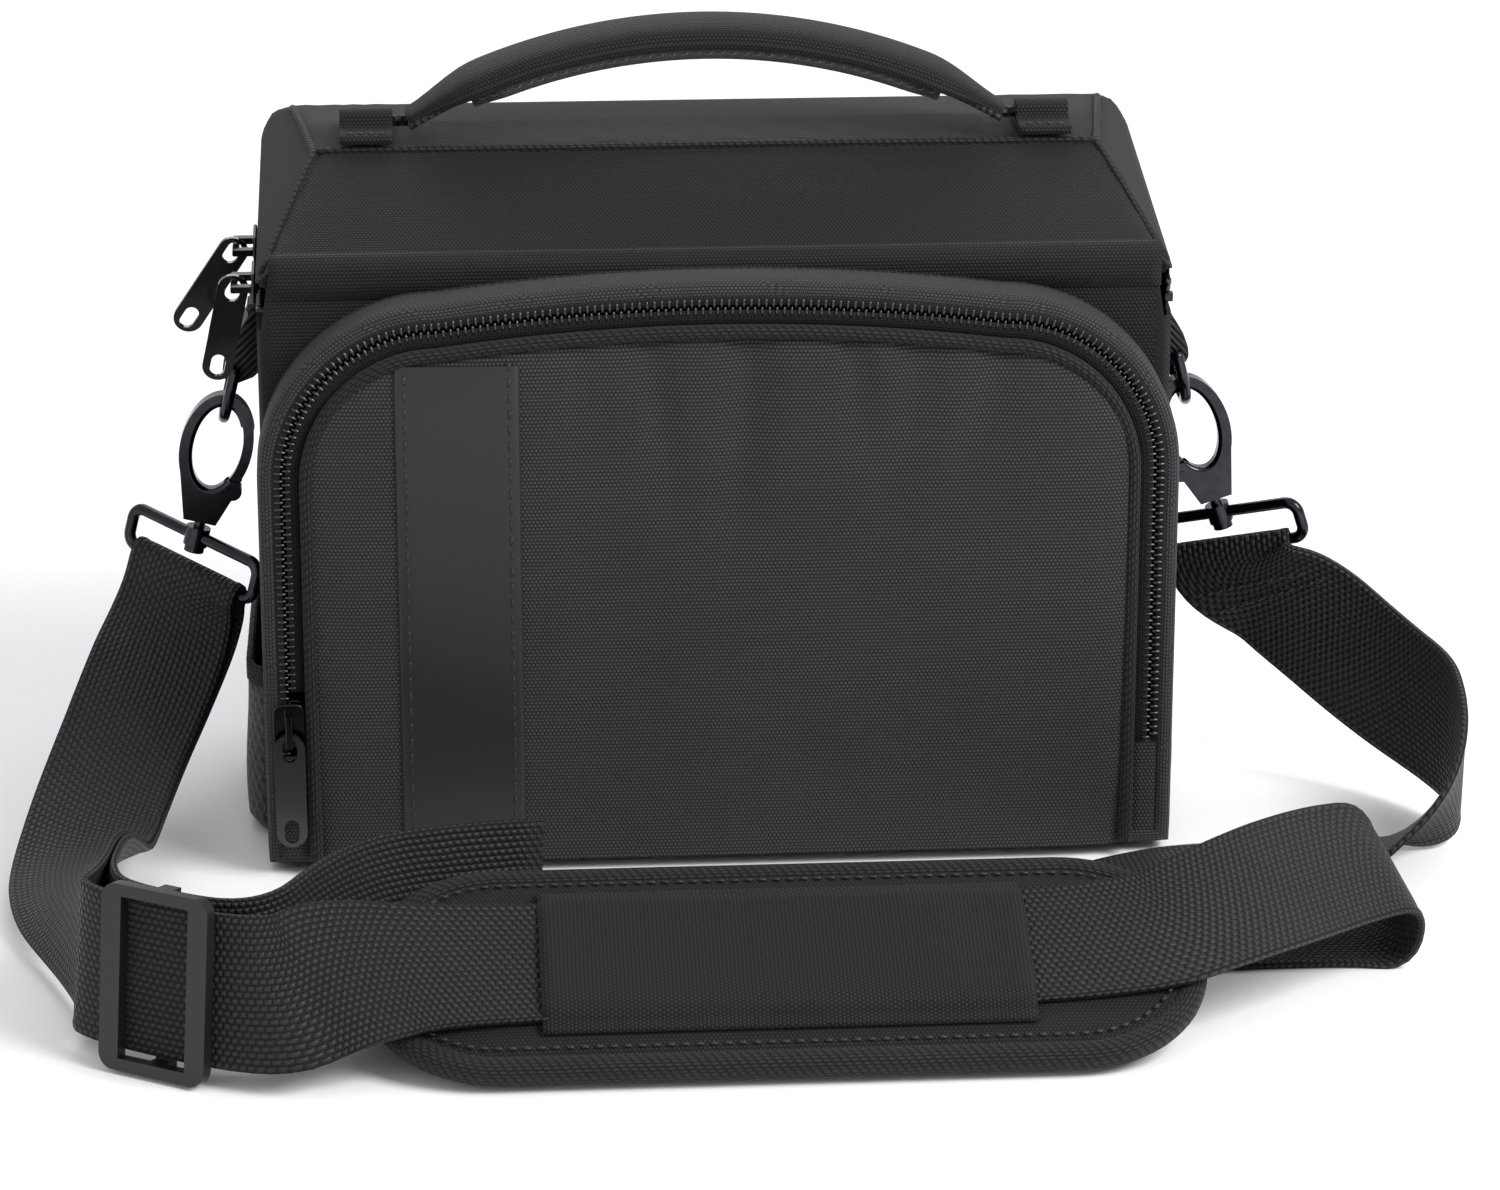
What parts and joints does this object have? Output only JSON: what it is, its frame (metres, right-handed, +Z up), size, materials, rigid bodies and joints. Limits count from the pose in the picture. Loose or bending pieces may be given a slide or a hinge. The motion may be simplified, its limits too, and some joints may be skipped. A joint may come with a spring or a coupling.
{
  "type": "camera bag",
  "caption": "Padded fabric camera bag with a zipped lid, arched front pocket, carry handle, side mesh pockets and a padded shoulder strap on swivel hooks.",
  "frame": {"origin": "centre of the bag's base, on the ground", "axes": "+Z up, +X to the right seen from the pocket, the pocket faces -Y"},
  "size_m": [0.3862, 0.2677, 0.214],
  "materials": {
    "dark_canvas": "plain-weave coated polyester, near black",
    "panel_canvas": "plain-weave coated polyester, charcoal",
    "foam": "closed-cell padding",
    "lining": "brushed loop lining",
    "twill_binding": "woven binding tape",
    "board": "stiff plastic board",
    "zip_tape": "woven zip tape",
    "zip_coil": "nylon coil",
    "trim_leather": "smooth satin coated leather",
    "spacer_mesh": "open knitted mesh",
    "webbing": "ribbed polypropylene webbing",
    "black_nickel": "polished black nickel",
    "glide_plastic": "moulded satin plastic"
  },
  "bodies": {
    "bag": {"body_shell": "dark_canvas", "body_foam": "foam", "body_lining": "lining", "rim_binding": "twill_binding", "bottom_board": "board", "body_zip_tape": "zip_tape", "body_zip_teeth": "zip_coil", "zip_end_stops": "zip_coil", "pocket_gusset": "panel_canvas", "pocket_zip_tape": "zip_tape", "pocket_zip_teeth": "zip_coil", "pocket_lower_panel": "panel_canvas", "trim_band_lower": "trim_leather", "mesh_pocket_left": "spacer_mesh", "mesh_pocket_right": "spacer_mesh", "mesh_binding_left": "twill_binding", "mesh_binding_right": "twill_binding", "ring_tab_left": "webbing", "ring_tab_right": "webbing", "strap_ring_left": "black_nickel", "strap_ring_right": "black_nickel", "strap_webbing": "webbing", "strap_tail": "webbing", "shoulder_pad": "twill_binding", "pad_sleeve": "dark_canvas"},
    "lid": {"lid_shell": "dark_canvas", "lid_foam": "foam", "lid_lining": "lining", "lid_zip_tape": "zip_tape", "lid_zip_teeth": "zip_coil", "handle_tabs": "dark_canvas"},
    "handle": {"handle_grip": "dark_canvas", "handle_mesh": "spacer_mesh", "handle_webbing": "webbing", "handle_ends": "dark_canvas"},
    "pocket_flap": {"pocket_panel": "panel_canvas", "pocket_foam": "foam", "trim_band": "trim_leather", "flap_zip_tape": "zip_tape", "flap_zip_teeth": "zip_coil"},
    "divider_a": {"divider_left": "lining"},
    "divider_b": {"divider_right": "lining"},
    "d_ring_a": {"d_ring_left": "black_nickel"},
    "d_ring_b": {"d_ring_right": "black_nickel"},
    "hook_a": {"hook_left": "black_nickel", "gate_pin_left": "black_nickel", "swivel_post_left": "black_nickel"},
    "hook_b": {"hook_right": "black_nickel", "gate_pin_right": "black_nickel", "swivel_post_right": "black_nickel"},
    "gate_a": {"gate_left": "black_nickel"},
    "gate_b": {"gate_right": "black_nickel"},
    "zip_slider_rear": {"slider_rear": "black_nickel"},
    "zip_slider_front": {"slider_front": "black_nickel"},
    "zip_pull_rear": {"pull_rear": "black_nickel"},
    "zip_pull_front": {"pull_front": "black_nickel"},
    "pocket_slider": {"slider_pocket": "black_nickel"},
    "pocket_pull": {"pull_pocket": "black_nickel"},
    "adjuster": {"tri_glide": "glide_plastic"}
  },
  "joints": [
    {"name": "lid_open", "type": "hinge", "parent": "bag", "child": "lid", "pos_m": [0, -0.042, 0.16], "axis": [1, 0, 0], "range_deg": [0, 100]},
    {"name": "handle_tilt", "type": "hinge", "parent": "lid", "child": "handle", "pos_m": [0, 0.01, 0.187], "axis": [1, 0, 0], "range_deg": [-15, 15]},
    {"name": "pocket_flap_open", "type": "hinge", "parent": "bag", "child": "pocket_flap", "pos_m": [0, -0.062, 0.03], "axis": [1, 0, 0], "range_deg": [0, 70]},
    {"name": "divider_a_move", "type": "slide", "parent": "bag", "child": "divider_a", "axis": [1, 0, 0], "range_m": [-0.02, 0.02]},
    {"name": "divider_b_move", "type": "slide", "parent": "bag", "child": "divider_b", "axis": [1, 0, 0], "range_m": [-0.02, 0.02]},
    {"name": "d_ring_a_swing", "type": "hinge", "parent": "bag", "child": "d_ring_a", "pos_m": [-0.12637, 0.005, 0.12255], "axis": [0, 1, 0], "range_deg": [-4, 4]},
    {"name": "d_ring_b_swing", "type": "hinge", "parent": "bag", "child": "d_ring_b", "pos_m": [0.12637, 0.005, 0.12255], "axis": [0, 1, 0], "range_deg": [-4, 4]},
    {"name": "hook_a_swivel", "type": "hinge", "parent": "bag", "child": "hook_a", "pos_m": [-0.13, 0.005, 0.108], "axis": [0.2419, 0, 0.9703], "range_deg": [-25, 25]},
    {"name": "hook_b_swivel", "type": "hinge", "parent": "bag", "child": "hook_b", "pos_m": [0.13, 0.005, 0.108], "axis": [-0.309, 0, 0.9511], "range_deg": [-25, 25]},
    {"name": "gate_a_open", "type": "hinge", "parent": "hook_a", "child": "gate_a", "pos_m": [-0.12843, 0.005, 0.087], "axis": [0, -1, 0], "range_deg": [0, 16], "stiffness_Nm_per_rad": 0.02, "springref_deg": -20.05},
    {"name": "gate_b_open", "type": "hinge", "parent": "hook_b", "child": "gate_b", "pos_m": [0.1299, 0.005, 0.08694], "axis": [0, 1, 0], "range_deg": [0, 16], "stiffness_Nm_per_rad": 0.02, "springref_deg": -20.05},
    {"name": "zip_rear_run", "type": "slide", "parent": "bag", "child": "zip_slider_rear", "axis": [0, 0.9766, 0.2149], "range_m": [0, 0.045]},
    {"name": "zip_front_run", "type": "slide", "parent": "bag", "child": "zip_slider_front", "axis": [0, 0.9766, 0.2149], "range_m": [-0.003, 0.006]},
    {"name": "pull_rear_swing", "type": "hinge", "parent": "zip_slider_rear", "child": "zip_pull_rear", "pos_m": [-0.12485, -0.005, 0.15726], "axis": [0, 0.9766, 0.2149], "range_deg": [-14, 40]},
    {"name": "pull_front_swing", "type": "hinge", "parent": "zip_slider_front", "child": "zip_pull_front", "pos_m": [-0.12485, -0.026, 0.15264], "axis": [0, 0.9766, 0.2149], "range_deg": [-7, 50]},
    {"name": "pocket_zip_run", "type": "slide", "parent": "bag", "child": "pocket_slider", "axis": [0, 0, 1], "range_m": [0, 0.055]},
    {"name": "pocket_pull_lift", "type": "hinge", "parent": "pocket_slider", "child": "pocket_pull", "pos_m": [-0.1131, -0.0627, 0.04015], "axis": [1, 0, 0], "range_deg": [-60, 0]},
    {"name": "adjuster_run", "type": "slide", "parent": "bag", "child": "adjuster", "axis": [0.8486, -0.5291, 0], "range_m": [0, 0.006]}
  ]
}
